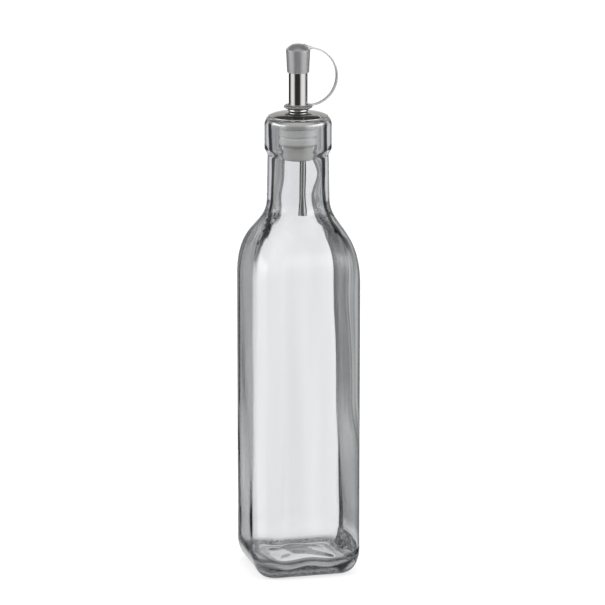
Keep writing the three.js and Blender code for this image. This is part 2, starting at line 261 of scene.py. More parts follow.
insideRows = np.concatenate([
    cone[:1], mouthDown, cone[1:-1], boreDown, innerShoulder[::-1], innerWall, innerHeel,
    pushUp(floorHalf, glass["innerFlat"], glass["base"])[-2::-1],
])
stations = np.concatenate([outsideRows, insideRows])
turn = 2 * np.pi * np.arange(glass["columns"])[None, :] / glass["columns"]
height = np.repeat(stations[:, 2:], glass["columns"], axis=1)
inside = (np.arange(len(stations)) >= len(outsideRows))[:, None]

# Two inner corners are sharper than the others, the back right one high up and the front right one low down:
# their straight stretches are longer by a share.
upWall = ease(*blown["sharperUp"], height)
backSharper = blown["backSharper"][0] + (blown["backSharper"][1] - blown["backSharper"][0]) * upWall
frontSharper = blown["frontSharper"] * (1 - upWall)
longer = 1 + inside * backSharper * ease(*blown["corner"], np.cos(turn - np.pi / 4))
longer = longer + inside * frontSharper * ease(*blown["corner"], np.cos(turn + np.pi / 4))
flats = stations[:, 1:2]
flats = np.minimum(flats * longer, np.maximum(flats, blown["mostFlat"] * stations[:, :1]))
reach = squareReach(stations[:, :1], flats, turn)


# Sum of sines that run round the wall and up it.
def sines(rows):
    return sum(share * np.sin(lobes * turn + height / rise + phase) for share, lobes, rise, phase in rows)


# The inner skin is a little uneven all round and swells at the corners; the mouth and the floor stay still.
calm = ease(*blown["foot"], height) * (1 - ease(*blown["neck"], height))
waves = blown["wave"] * sines(blown["waveSines"])
atCorner = np.sin(2 * turn) ** 4 * (1 - ease(*blown["swellEnd"], height))
swells = blown["swell"] * atCorner * sines(blown["swellSines"])
reach = reach + inside * calm * (waves + swells)

# The right wall is thinner near the foot, and the neck's bore is wider at a spot on either side.
thin = ease(*blown["thinFoot"], height) * (1 - ease(*blown["thinEnd"], height))
reach = reach + inside * blown["thin"] * thin * ease(*blown["thinSide"], np.cos(turn))
toRight = np.cos(turn + math.radians(blown["boreTurn"]))
for (most, middle, spread), sign in ((blown["rightSpot"], 1), (blown["leftSpot"], -1)):
    onSide = (0.5 + 0.5 * sign * toRight) ** blown["boreSharp"]
    reach = reach + inside * most * np.exp(-((height - middle) / spread) ** 2) * onSide
glassGrid = np.stack([reach * np.cos(turn), reach * np.sin(turn), height], axis=-1)

# The floor is dented by crossed cosines that die out up the wall and at the pole.
acrossDents = glassGrid[..., 0] / blown["dents"][0]
alongDents = glassGrid[..., 1] / blown["dents"][1] + blown["dentShift"]
dents = -np.cos(acrossDents) * np.cos(alongDents)
onFloor = (1 - ease(*blown["floorEnd"], height)) * ease(*blown["floorMiddle"], reach)
glassGrid[..., 2] += blown["floorWave"] * inside * onFloor * dents
glassPoles = np.array([[0, 0, glass["pushUp"]], [0, 0, glass["pushUp"] + glass["base"]]])
glassBottle = skin("bottleGlass", glassGrid, glassPoles)
skinSide = np.append(np.repeat(inside.ravel(), glass["columns"]), [False, True]).astype(np.float32)
glassBottle.data.attributes.new("inner", "FLOAT", "POINT").data.foreach_set("value", skinSide)
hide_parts("glass_bottle")
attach(glassBottle, "bottle")
print("bottle built")

# The pourer's pieces, millimetres with heights from the rim.
spout = {
    "radius": 5.15, "wall": 0.5, "root": -13.0, "top": 35.2, "bead": 0.55, "beadHeight": 1.2,
    "beadPower": 0.8, "columns": 96,
}
dome = {
    "radius": glass["finish"] - glass["rimWidth"], "rise": 2.2, "sheet": 0.6, "edge": 0.25,
    "rows": 30, "columns": 128,
}
plug = {
    "top": -2.4, "fin": 10.22, "headFoot": -5.7, "pitch": 4.6, "taper": 1.3, "chamfer": 0.6, "nose": 8.2,
    "noseLength": 7.9, "step": 0.3, "stepDrop": 5.2, "chord": 0.2, "channelRows": 0.32, "columns": 128,
}
vent = {"radius": 1.7, "wall": 0.4, "drop": 30.0, "inset": 1.5, "cut": 0.15, "columns": 48}
spoutInner = spout["radius"] - spout["wall"]
onSpout = spout["radius"] + slideGap  # bore of what sits on the spout
noseTop = plug["headFoot"] - 2 * plug["pitch"]
plugBottom = noseTop - plug["noseLength"]


# Height of the dome's lower face: nearly flat in the middle, it falls with the fourth power of the radius.
def domeHeight(radius):
    return seatGap + dome["rise"] * (1 - (radius / dome["radius"]) ** 4)


# Dome: thin sheet with a rounded edge.
domeOut = np.linspace(onSpout, dome["radius"] - dome["edge"], dome["rows"])
domeLow = np.stack([domeOut, domeHeight(domeOut)], axis=-1)
edgeTurn = np.linspace(-np.pi / 2, np.pi / 2, 9)[1:-1]
domeEdge = np.stack([
    dome["radius"] - dome["edge"] * (1 - np.cos(edgeTurn)),
    domeLow[-1, 1] + dome["sheet"] / 2 * (1 + np.sin(edgeTurn)),
], axis=-1)
domeHigh = domeLow[::-1] + np.array([0, dome["sheet"]])
domeProfile = np.concatenate([domeLow, domeEdge, domeHigh]) + np.array([0, rim])
domePiece = skin("pourerDome", turnedGrid(domeProfile, dome["columns"]))
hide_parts("drip_dome")

# Spout: a thin tube with a rolled bead at its foot.
beadLow = domeHeight(spout["radius"] + spout["bead"]) + dome["sheet"] + slideGap
beadHigh = beadLow + spout["beadHeight"]
beadTurn = np.linspace(-np.pi / 2, np.pi / 2, 17)
bead = np.stack([
    spout["radius"] + spout["bead"] * np.cos(beadTurn) ** spout["beadPower"],
    (beadLow + beadHigh) / 2 + spout["beadHeight"] / 2 * np.sin(beadTurn),
], axis=-1)
tubeLow = softProfile([
    (spoutInner, spout["root"] + 4, 0.1), (spoutInner, spout["root"], 0.2),
    (spout["radius"], spout["root"], 0.2), (spout["radius"], beadLow - 0.5, 0.1),
], closed=False)
tubeHigh = softProfile([
    (spout["radius"], beadHigh + 0.5, 0.1), (spout["radius"], spout["top"], 0.22),
    (spoutInner, spout["top"], 0.22), (spoutInner, spout["top"] - 4, 0.1),
], closed=False)
spoutProfile = np.concatenate([tubeLow, bead, tubeHigh]) + np.array([0, rim])
spoutPiece = skin("pourerSpout", turnedGrid(spoutProfile, spout["columns"]))
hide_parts("spout_tube")

# Air tube: open at both ends, off the axis.
ventInner = vent["radius"] - vent["wall"]
ventLow = plugBottom - vent["drop"]
ventHigh = spout["top"] - vent["inset"]
ventProfile = softProfile([
    (ventInner, ventLow, vent["cut"]), (vent["radius"], ventLow, vent["cut"]),
    (vent["radius"], ventHigh, vent["cut"]), (ventInner, ventHigh, vent["cut"]),
]) + np.array([0, rim])
ventAside = spoutInner - vent["radius"] - seatGap
ventPiece = skin("pourerAirTube", turnedGrid(ventProfile, vent["columns"], ventAside))
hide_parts("vent_tube")

# Plug: head, two fins that narrow downwards, and a stepped nose with a pour channel cut off straight.
finEdge = plug["fin"] - plug["taper"]
plugFloor = spout["root"] - seatGap
tip = plug["nose"] - plug["step"]
stepAt = noseTop - plug["stepDrop"]
plugProfile = softProfile([
    (spoutInner, plugBottom, 0.3), (tip, plugBottom, 1.6), (tip, stepAt, 0.08), (plug["nose"], stepAt, 0.12),
    (plug["nose"], noseTop, 0.4), (finEdge, noseTop, 0.2), (plug["fin"], noseTop + plug["taper"], 0.35),
    (plug["fin"], noseTop + plug["pitch"], 0.25), (finEdge, noseTop + plug["pitch"] + 0.05, 0.2),
    (plug["fin"], noseTop + plug["pitch"] + plug["taper"], 0.35), (plug["fin"], plug["headFoot"], 0.25),
    (plug["fin"] - plug["chamfer"], plug["headFoot"] + 0.05, 0.12),
    (plug["fin"], plug["headFoot"] + plug["chamfer"], 0.15), (plug["fin"], plug["top"], 0.9),
    (onSpout, plug["top"], 0.2), (onSpout, plugFloor, 0.25), (spoutInner, plugFloor - 0.02, 0.25),
]) + np.array([0, rim])
plugGrid = turnedGrid(plugProfile, plug["columns"])
plugTurn = 2 * np.pi * np.arange(plug["columns"])[None, :] / plug["columns"]
straight = plug["chord"] / np.maximum(np.cos(plugTurn), 0.02)  # far away where the ray misses the chord
inChannel = plugProfile[:, :1] <= spoutInner + plug["channelRows"]
shrink = np.where(inChannel, np.minimum(1, straight / spoutInner), 1)
plugGrid[..., :2] *= shrink[..., None]
plugPiece = skin("pourerPlug", plugGrid)
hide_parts("stopper_plug")
pourerPieces = ((domePiece, "steel"), (spoutPiece, "steel"), (ventPiece, "steel"), (plugPiece, "plug"))
for piece, slotName in pourerPieces:
    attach(piece, "pourer")
print("pourer built")

# Ring that turns on the spout, with an outer edge that comes to a soft ridge.
ring = {"width": 2.5, "thick": 2.1, "edge": 1.5, "power": 1.25, "columns": 96}
ringLow = beadHigh + slideGap
ringHigh = ringLow + ring["thick"]
ringRadius = onSpout + ring["width"]
ringUpper = quarterRound(ringRadius - ring["edge"], 0, ring["edge"], ring["thick"] / 2, 12, ring["power"])
ringLower = ringUpper[::-1] * np.array([1, -1])
ringInside = softProfile([
    (ringRadius, ringHigh, 0.1), (onSpout, ringHigh, 0.3),
    (onSpout, ringLow, 0.3), (ringRadius, ringLow, 0.1),
], closed=False)
ringOutside = np.concatenate([ringLower[1:], ringUpper[1:-1]]) + np.array([0, (ringLow + ringHigh) / 2])
ringProfile = np.concatenate([ringOutside, ringInside[1:-1]]) + np.array([0, rim])
ringPiece = skin("capRing", turnedGrid(ringProfile, ring["columns"]))
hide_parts("strap_ring")
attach(ringPiece, "tether")

# Cap: widest under its bevelled crown, hollow from below.
cap = {
    "mouthWall": 0.6, "bodyWall": 1.2, "depth": 11.0, "height": 15.6, "crown": 0.3, "bevelWidth": 4.0,
    "bevelHeight": 3.1, "power": 1.5, "pole": 0.4, "columns": 96,
}
capFoot = spout["top"] - cap["depth"]
capTop = capFoot + cap["height"]
capCeiling = spout["top"] + seatGap
capRadius = onSpout + cap["bodyWall"]
capShoulder = capTop - cap["crown"] - cap["bevelHeight"]
crownRadius = capRadius - cap["bevelWidth"]
capSide = softProfile([
    (cap["pole"], capCeiling, 0.1), (onSpout, capCeiling, 0.4), (onSpout, capFoot, 0.25),
    (onSpout + cap["mouthWall"], capFoot, 0.4), (capRadius, capShoulder, 0.5),
    (capRadius - 0.35 * cap["bevelWidth"], capShoulder + 0.42 * cap["bevelHeight"], 0.1),
], closed=False)[:-3]
capSide = capSide[capSide[:, 1] < capShoulder - 0.05]
bevel = quarterRound(crownRadius, capShoulder, cap["bevelWidth"], cap["bevelHeight"], 22, cap["power"])
crownOut = np.linspace(crownRadius, cap["pole"], 8)[1:]
crown = np.stack([crownOut, capTop - cap["crown"] * (crownOut / crownRadius) ** 2], axis=-1)
capProfile = np.concatenate([capSide, bevel, crown]) + np.array([0, rim])
capPoles = np.array([[0, 0, rim + capCeiling], [0, 0, rim + capTop]])
capPiece = skin("spoutCap", turnedGrid(capProfile, cap["columns"]), capPoles)
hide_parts("spout_cap")
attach(capPiece, "cap")

# Strap: one band from inside the ring round to the crown, thickest in the middle, with a wedge by the crown.
strap = {
    "endX": 8.6, "midX": 21.5, "root": 6.3, "drop": 2.8, "tongueX": 3.4, "tongueDrop": 0.6, "width": 3.2,
    "thick": 1.2, "endThick": 0.9, "wedge": 2.0, "wedgeEnd": 0.6, "power": 0.45,
    "rootRows": 7, "rows": 120, "tongueRows": 19, "columns": 28,
}
strapLow = ringHigh - strap["endThick"] / 2
strapHigh = capTop - strap["drop"]
halfChord = (strapHigh - strapLow) / 2
bulge = strap["midX"] - strap["endX"]
arcRadius = (halfChord ** 2 + bulge ** 2) / (2 * bulge)
sweep = math.atan2(halfChord, strap["endX"] - strap["midX"] + arcRadius)
arcTurn = np.linspace(-sweep, sweep, strap["rows"])
arc = np.stack([
    strap["midX"] - arcRadius + arcRadius * np.cos(arcTurn),
    (strapHigh + strapLow) / 2 + arcRadius * np.sin(arcTurn),
], axis=-1)
rootLine = np.linspace((strap["root"], strapLow), arc[0], strap["rootRows"] + 1)[:-1]
tongueEnd = (strap["tongueX"], capTop - strap["tongueDrop"])
tongue = np.linspace(arc[-1], tongueEnd, strap["tongueRows"] + 1)[1:]
line = np.concatenate([rootLine, arc, tongue])
for smoothing in range(3):  # each point becomes the mean of itself and its neighbours; the ends stay
    line[1:-1] = (line[:-2] + line[1:-1] + line[2:]) / 3
along = np.gradient(line, axis=0)
along /= np.linalg.norm(along, axis=1, keepdims=True)
normal = np.stack([along[:, 1], -along[:, 0]], axis=-1)  # points away from the middle of the arc
rowTurn = np.concatenate([np.full(strap["rootRows"], -sweep), arcTurn, np.full(strap["tongueRows"], sweep)])
thick = strap["endThick"] + (strap["thick"] - strap["endThick"]) * (np.cos(rowTurn) - math.cos(sweep))
onTongue = np.linspace(0, 1, strap["tongueRows"] + 1)[1:]
onTongue = np.concatenate([np.zeros(strap["rootRows"] + strap["rows"]), onTongue])
wedge = strap["wedge"] * ease(0, strap["wedgeEnd"], onTongue)
spin = 2 * np.pi * np.arange(strap["columns"])[None, :] / strap["columns"]
roundedThick = np.sign(np.cos(spin)) * np.abs(np.cos(spin)) ** strap["power"]
roundedWide = np.sign(np.sin(spin)) * np.abs(np.sin(spin)) ** strap["power"]
sink = 0.5 * wedge[:, None] * np.sign(normal[:, 1:])  # the wedge grows downwards only
offset = roundedThick * (thick + wedge)[:, None] / 2 - sink
strapGrid = np.stack([
    line[:, :1] + normal[:, :1] * offset,
    np.repeat(roundedWide * strap["width"] / 2, len(line), axis=0),
    rim + line[:, 1:] + normal[:, 1:] * offset,
], axis=-1)
strapPoles = np.stack([strapGrid[0].mean(axis=0), strapGrid[-1].mean(axis=0)])
strapPiece = skin("capStrap", strapGrid, strapPoles)
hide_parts("cap_strap")
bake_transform(strapPiece)
print("cap, strap and ring built")


# Sockets of a node filled with values, or linked.
def fill(tree, node, sockets):
    for key, value in sockets.items():
        if isinstance(value, bpy.types.NodeSocket):
            tree.links.new(value, node.inputs[key])
        else:
            node.inputs[key].default_value = value


# One node with its settings and its sockets.
def addNode(tree, kind, sockets=None, **settings):
    made = tree.nodes.new(kind)
    for key, value in settings.items():
        setattr(made, key, value)
    fill(tree, made, sockets or {})
    return made


# Number between low and high as value goes from start to stop, straight or with soft ends.
def mapped(tree, value, start, stop, low=0, high=1, kind="LINEAR"):
    sockets = {"Value": value, "From Min": start, "From Max": stop, "To Min": low, "To Max": high}
    return addNode(tree, "ShaderNodeMapRange", sockets, interpolation_type=kind).outputs["Result"]


def eased(tree, value, start, stop, low=0, high=1):
    return mapped(tree, value, start, stop, low, high, "SMOOTHSTEP")


def maths(tree, operation, first, second=0):
    return addNode(tree, "ShaderNodeMath", {0: first, 1: second}, operation=operation).outputs[0]


def times(tree, first, second):
    return maths(tree, "MULTIPLY", first, second)


# First where share is 0, second where it is 1: for numbers, and for colours.
def mixed(tree, share, first, second):
    return addNode(tree, "ShaderNodeMix", {0: share, 2: first, 3: second}).outputs[0]


def mixedColor(tree, share, first, second):
    return addNode(tree, "ShaderNodeMix", {0: share, 6: first, 7: second}, data_type="RGBA").outputs[2]


# Colour times a brightness.
def scaled(tree, color, bright):
    sockets = {0: color, "Scale": bright}
    return addNode(tree, "ShaderNodeVectorMath", sockets, operation="SCALE").outputs[0]


# Brightness along a row of (share, brightness) points from share 0 to share 1.
def ramped(tree, points, share):
    ramp = addNode(tree, "ShaderNodeValToRGB", {"Fac": share})
    stops = ramp.color_ramp.elements
    for place, bright in points[1:-1]:
        stops.new(place)
    for stop, (place, bright) in zip(stops, points):
        stop.color = (bright, bright, bright, 1)
    return ramp.outputs["Color"]


# The piece's own coordinates in metres, and the same stretched along each axis.
def ownPlace(tree):
    return addNode(tree, "ShaderNodeTexCoord").outputs["Object"]


def stretched(tree, place, stretch):
    return addNode(tree, "ShaderNodeMapping", {"Vector": place, "Scale": stretch}).outputs[0]


def noise(tree, place, scale, detail, **more):
    sockets = {"Vector": place, "Scale": scale, "Detail": detail, **more}
    return addNode(tree, "ShaderNodeTexNoise", sockets).outputs["Fac"]


# Normal tilted by a height; strength is a share and distance is in metres.
def bumped(tree, height, strength, distance, **more):
    sockets = {"Height": height, "Strength": strength, "Distance": distance, **more}
    return addNode(tree, "ShaderNodeBump", sockets).outputs["Normal"]


# Shared handling marks from noise: soft smudges at the scale of a finger and grain at the scale of dust.
marksLook = {"detail": 4, "rough": 0.6, "smudge": (0.42, 0.72), "grain": 2600, "grainDetail": 2}
marks = bpy.data.node_groups.new("handlingMarks", "ShaderNodeTree")
marks.interface.new_socket("Scale", in_out="INPUT", socket_type="NodeSocketFloat")
marks.interface.new_socket("Smudge", in_out="OUTPUT", socket_type="NodeSocketFloat")
marks.interface.new_socket("Grain", in_out="OUTPUT", socket_type="NodeSocketFloat")
marksScale = addNode(marks, "NodeGroupInput").outputs["Scale"]
marksPlace = ownPlace(marks)
smudgeNoise = noise(marks, marksPlace, marksScale, marksLook["detail"], Roughness=marksLook["rough"])
grainNoise = noise(marks, marksPlace, marksLook["grain"], marksLook["grainDetail"])
addNode(marks, "NodeGroupOutput", {
    "Smudge": eased(marks, smudgeNoise, *marksLook["smudge"]), "Grain": grainNoise})


# New material: its tree, its Principled shader, and the outputs of the shared marks at a scale.
def startMaterial(name, scale):
    made = bpy.data.materials.new(name)
    made.use_nodes = True
    tree = made.node_tree
    shared = addNode(tree, "ShaderNodeGroup", node_tree=marks)
    shared.inputs["Scale"].default_value = scale
    return made, tree, tree.nodes["Principled BSDF"], shared.outputs


# Clear glass with a light grey tint that grows with the thickness, and painted shade in its colour. Rows of
# (slant, brightness) say how dark a skin is painted by how aslant it is seen, standing in for the dark bands
# that glass shows towards its edges: the body and the neck outside, and the inside. Other rows are (start,
# stop) or (start, stop, low, high): metres along an axis, or a noise's range, and the values at both ends.
glassLook = {
    "face": (0.986, 0.992, 1.0), "ior": 1.5, "tint": (0.872, 0.88, 0.891, 1), "density": 75.0,
    "marks": 38, "smudge": 0.004, "ripple": 45, "rippleBump": (0.05, 0.001),
    "body": ((0, 1), (0.55, 1), (0.7, 0.48), (0.79, 0.48), (0.88, 0.7), (1, 1)),
    "neck": (
        (0, 1), (0.05, 1), (0.12, 0.97), (0.34, 0.97), (0.39, 0.01), (0.5, 0.01), (0.54, 0.9), (0.63, 0.9),
        (0.69, 0.3), (0.79, 0.3), (0.86, 0.5), (1, 1)),
    "inner": ((0, 1), (0.42, 1), (0.47, 0.04), (0.56, 0.04), (0.62, 0.1), (0.72, 0.015), (1, 0.015)),
    "neckUp": (0.165, 0.19), "fine": (110, 110, 20), "fineTwist": 0.7, "uneven": (0.3, 0.7, -0.06, 0.06),
    "broad": (75, 75, 5), "streaks": (0.35, 0.65, 0.94, 1),
    "backLeft": (0.008, 0.014, 0, 0.75),
    "rightX": (0.0235, 0.0255), "rightY": (-0.018, -0.012), "rightUp": (0.07, 0.115, 0.16, 0),
    "leftX": (-0.0275, -0.029), "leftUp": (0.03, 0.08, 0.6, 0),
    "base": 0.8, "baseLow": (0.004, 0.014), "baseHigh": (0.011, 0.024),
    "ring": 0.9, "ringUp": (0.0012, 0.0032, 1, 0), "ringOut": (0.0175, 0.019),
    "heelFoot": (0.0003, 0.0008), "heelUp": (0.0035, 0.0065, 1, 0), "heelOut": (0.019, 0.0215),
    "stipple": 1100, "stippleBump": (0.4, 0.001), "heelShadeSpecks": (0.42, 0.58, 0.01, 0.3),
    "contact": (0.003, 0.013, 0.05, 1), "shadow": (0.002, 0.008, 0.4, 0.965),
    "rimUp": (0.2488, 0.2498), "rimIor": 3.5,
}
glassMaterial, tree, shader, shared = startMaterial("clearGlass", glassLook["marks"])
glassPlace = ownPlace(tree)
glassAt = addNode(tree, "ShaderNodeSeparateXYZ", {0: glassPlace}).outputs
onInner = addNode(tree, "ShaderNodeAttribute", attribute_name="inner").outputs["Fac"]
glassRay = addNode(tree, "ShaderNodeLightPath").outputs

# Painted shade: how aslant the skin is seen, made a little uneven by fine streaks, sets how dark its colour
# is.
finePlace = stretched(tree, glassPlace, glassLook["fine"])
fineNoise = noise(tree, finePlace, 1, 2, Distortion=glassLook["fineTwist"])
slant = addNode(tree, "ShaderNodeLayerWeight", {"Blend": 0.5}).outputs["Facing"]
slant = maths(tree, "ADD", slant, mapped(tree, fineNoise, *glassLook["uneven"]))
bodyPaintedShade = ramped(tree, glassLook["body"], slant)
neckPaintedShade = ramped(tree, glassLook["neck"], slant)
outerPaintedShade = mixed(tree, eased(tree, glassAt["Z"], *glassLook["neckUp"]), bodyPaintedShade, neckPaintedShade)

# The inner skin's painted shade is lifted in the back left corner and on the right wall near the foot, where
# it stays light.
backLeft = maths(tree, "MINIMUM", times(tree, glassAt["X"], -1.0), glassAt["Y"])
rightX = mapped(tree, glassAt["X"], *glassLook["rightX"])
rightWall = times(tree, rightX, mapped(tree, glassAt["Y"], *glassLook["rightY"]))
rightFoot = times(tree, eased(tree, glassAt["Z"], *glassLook["rightUp"]), rightWall)
lighter = maths(tree, "MAXIMUM", eased(tree, backLeft, *glassLook["backLeft"]), rightFoot)
innerPaintedShade = mixed(tree, lighter, ramped(tree, glassLook["inner"], slant), 1.0)
tone = mixed(tree, onInner, outerPaintedShade, innerPaintedShade)

# Broad streaks darken it a little at random. The outer left wall gets painted light near the foot, and the
# base gets one fixed painted shade, darker on the outer skin than the inner.
broadNoise = noise(tree, stretched(tree, glassPlace, glassLook["broad"]), 1, 1)
tone = times(tree, tone, mapped(tree, broadNoise, *glassLook["streaks"]))
leftX = mapped(tree, glassAt["X"], *glassLook["leftX"])
leftFootPaintedLight = times(tree, leftX, mapped(tree, glassAt["Z"], *glassLook["leftUp"]))
tone = maths(tree, "MINIMUM", times(tree, tone, maths(tree, "ADD", leftFootPaintedLight, 1.0)), 1.0)
baseLow = mapped(tree, onInner, 0, 1, *glassLook["baseLow"])
baseHigh = mapped(tree, onInner, 0, 1, *glassLook["baseHigh"])
basePaintedShade = mapped(tree, onInner, 0, 1, glassLook["base"], 1)
tone = mixed(tree, eased(tree, glassAt["Z"], baseLow, baseHigh), basePaintedShade, tone)

# The ring that it stands on is stippled. Painted shade darkens the ring a little, and the heel just outside
# it in dark specks.
outX = maths(tree, "ABSOLUTE", glassAt["X"])
outward = maths(tree, "MAXIMUM", outX, maths(tree, "ABSOLUTE", glassAt["Y"]))
ringUp = mapped(tree, glassAt["Z"], *glassLook["ringUp"])
onRing = times(tree, ringUp, mapped(tree, outward, *glassLook["ringOut"]))
tone = times(tree, tone, mapped(tree, onRing, 0, 1, 1, glassLook["ring"]))
heelFoot = mapped(tree, glassAt["Z"], *glassLook["heelFoot"])
heelUp = times(tree, heelFoot, mapped(tree, glassAt["Z"], *glassLook["heelUp"]))
onHeel = times(tree, heelUp, mapped(tree, outward, *glassLook["heelOut"]))
stippleNoise = noise(tree, glassPlace, glassLook["stipple"], 1)
heelShadeSpecks = mapped(tree, stippleNoise, *glassLook["heelShadeSpecks"])
tone = times(tree, tone, mapped(tree, onHeel, 0, 1, 1, heelShadeSpecks))

# Light on its way to the floor sees a dark heel, so the floor is shaded where the bottle stands on it.
fromFloor = maths(tree, "GREATER_THAN", glassRay["Diffuse Depth"], 0.5)
tone = mixed(tree, fromFloor, tone, mapped(tree, glassAt["Z"], *glassLook["contact"]))
ripples = bumped(tree, noise(tree, glassPlace, glassLook["ripple"], 1), *glassLook["rippleBump"])
stipples = times(tree, stippleNoise, onRing)
onRim = mapped(tree, glassAt["Z"], *glassLook["rimUp"])  # the rim mirrors more than the rest
fill(tree, shader, {
    "Base Color": scaled(tree, glassLook["face"], tone),
    "IOR": glassLook["ior"],
    "Transmission Weight": 1,
    "Roughness": mapped(tree, shared["Smudge"], 0, 1, 0, glassLook["smudge"]),
    "Normal": bumped(tree, stipples, *glassLook["stippleBump"], Normal=ripples),
    "Coat Weight": times(tree, onRim, maths(tree, "SUBTRACT", 1, onInner)),
    "Coat IOR": glassLook["rimIor"],
})

# Lamps shine straight through it, dimmed a little, and more at its foot.
clearTone = mapped(tree, glassAt["Z"], *glassLook["shadow"])
clear = addNode(tree, "ShaderNodeBsdfTransparent", {"Color": clearTone}).outputs[0]
toLamp = glassRay["Is Shadow Ray"]
glassMix = addNode(tree, "ShaderNodeMixShader", {0: toLamp, 1: shader.outputs[0], 2: clear})
tintSockets = {"Color": glassLook["tint"], "Density": glassLook["density"]}
tint = addNode(tree, "ShaderNodeVolumeAbsorption", tintSockets)
fill(tree, tree.nodes["Material Output"], {"Surface": glassMix.outputs[0], "Volume": tint.outputs[0]})

# Mirror-polished steel: smudges dull it a little, and fine polishing lines run round it.
steelLook = {
    "color": (0.68, 0.67, 0.66, 1), "dull": (0.63, 0.62, 0.605, 1), "rough": (0.03, 0.07), "marks": 160,
    "lines": (40, 40, 5000), "lineBump": (0.04, 0.0002),
}
steelMaterial, tree, shader, shared = startMaterial("polishedSteel", steelLook["marks"])
lines = noise(tree, stretched(tree, ownPlace(tree), steelLook["lines"]), 1, 2)
fill(tree, shader, {
    "Metallic": 1,
    "Base Color": mixedColor(tree, shared["Smudge"], steelLook["color"], steelLook["dull"]),
    "Roughness": mapped(tree, shared["Smudge"], 0, 1, *steelLook["rough"]),
    "Normal": bumped(tree, lines, *steelLook["lineBump"]),
})

# The air tube is the same steel, drawn thin, with painted reflection in its colour: dark down its middle and
# along its edges, where it mirrors the plug and the neck, and a painted highlight on either side of the
# middle.
ventLook = {
    "edges": ((0, 0.3), (0.015, 0.3), (0.05, 1), (0.15, 1), (0.26, 0.25), (0.4, 0.06), (1, 0.04)),
    "bright": 1.35,
}
ventMaterial = steelMaterial.copy()
ventMaterial.name = "tubeSteelPaintedReflection"
tree = ventMaterial.node_tree
shader = tree.nodes["Principled BSDF"]
turnedAway = addNode(tree, "ShaderNodeLayerWeight", {"Blend": 0.5}).outputs["Facing"]
tubePaintedReflection = times(tree, ramped(tree, ventLook["edges"], turnedAway), ventLook["bright"])
ventColor = shader.inputs["Base Color"].links[0].from_socket
fill(tree, shader, {"Base Color": scaled(tree, ventColor, tubePaintedReflection)})

# Milky soft plastic: light scatters a few millimetres inside it. Painted shade by height: the nose and the
# middle of the head are darker than the fins and the head's top edge.
plugLook = {
    "pale": (0.98, 0.965, 0.93, 1), "deep": (0.94, 0.925, 0.89, 1), "marks": 220, "up": (0.228, 0.25),
    "shadeByHeight": ((0, 0.73), (0.37, 0.73), (0.4, 1), (0.79, 1), (0.82, 0.8), (0.91, 0.8), (0.94, 1), (1, 1)),
    "scatter": 0.0025, "scatterShare": 0.7, "rough": (0.3, 0.7, 0.14, 0.24), "grainBump": (0.06, 0.0001),
}
plugMaterial, tree, shader, shared = startMaterial("milkyPlastic", plugLook["marks"])
plugColor = mixedColor(tree, shared["Smudge"], plugLook["pale"], plugLook["deep"])
plugUp = addNode(tree, "ShaderNodeSeparateXYZ", {0: ownPlace(tree)}).outputs["Z"]
plugPaintedShade = ramped(tree, plugLook["shadeByHeight"], mapped(tree, plugUp, *plugLook["up"]))
fill(tree, shader, {
    "Base Color": scaled(tree, plugColor, plugPaintedShade),
    "Subsurface Weight": plugLook["scatterShare"],
    "Subsurface Radius": (1, 1, 1),
    "Subsurface Scale": plugLook["scatter"],
    "Roughness": mapped(tree, shared["Grain"], *plugLook["rough"]),
    "Normal": bumped(tree, shared["Grain"], *plugLook["grainBump"]),
})

# Satin grey silicone: fine grain, slightly uneven in tone between pale and deep.
softLook = {
    "marks": 260, "scatter": 0.0015, "scatterShare": 0.6, "specular": 1.0, "sheen": 0.35, "sheenRough": 0.4,
    "coatRough": 0.3, "coatIor": 2.6, "rough": (0.3, 0.7, 0.3, 0.42), "grainBump": (0.05, 0.0001),
}


def silicone(name, pale, deep):
    made, tree, shader, shared = startMaterial(name, softLook["marks"])
    fill(tree, shader, {
        "Base Color": mixedColor(tree, shared["Smudge"], pale, deep),
        "Subsurface Weight": softLook["scatterShare"],
        "Subsurface Radius": (1, 1, 1),
        "Subsurface Scale": softLook["scatter"],
        "Specular IOR Level": softLook["specular"],
        "Sheen Weight": softLook["sheen"],
        "Sheen Roughness": softLook["sheenRough"],
        "Coat Weight": 1,
        "Coat Roughness": softLook["coatRough"],
        "Coat IOR": softLook["coatIor"],
        "Roughness": mapped(tree, shared["Grain"], *softLook["rough"]),
        "Normal": bumped(tree, shared["Grain"], *softLook["grainBump"]),
    })
    return made


# Three copies of one silicone: the cap in its own grey, the strap lighter as painted light where it is thin
# and lit through, and the ring darker as painted shade.
softMaterial = silicone("greySilicone", (0.24, 0.24, 0.249, 1), (0.215, 0.215, 0.223, 1))
strapPaintedLightMaterial = silicone("strapSiliconePaintedLight", (0.64, 0.64, 0.65, 1), (0.6, 0.6, 0.61, 1))
ringPaintedShadeMaterial = silicone("ringSiliconePaintedShade", (0.15, 0.15, 0.156, 1), (0.13, 0.13, 0.136, 1))

glassBottle.data.materials.append(glassMaterial)
domePiece.data.materials.append(steelMaterial)
spoutPiece.data.materials.append(steelMaterial)
ventPiece.data.materials.append(ventMaterial)
plugPiece.data.materials.append(plugMaterial)
ringPiece.data.materials.append(ringPaintedShadeMaterial)
capPiece.data.materials.append(softMaterial)
strapPiece.data.materials.append(strapPaintedLightMaterial)
print("materials set")

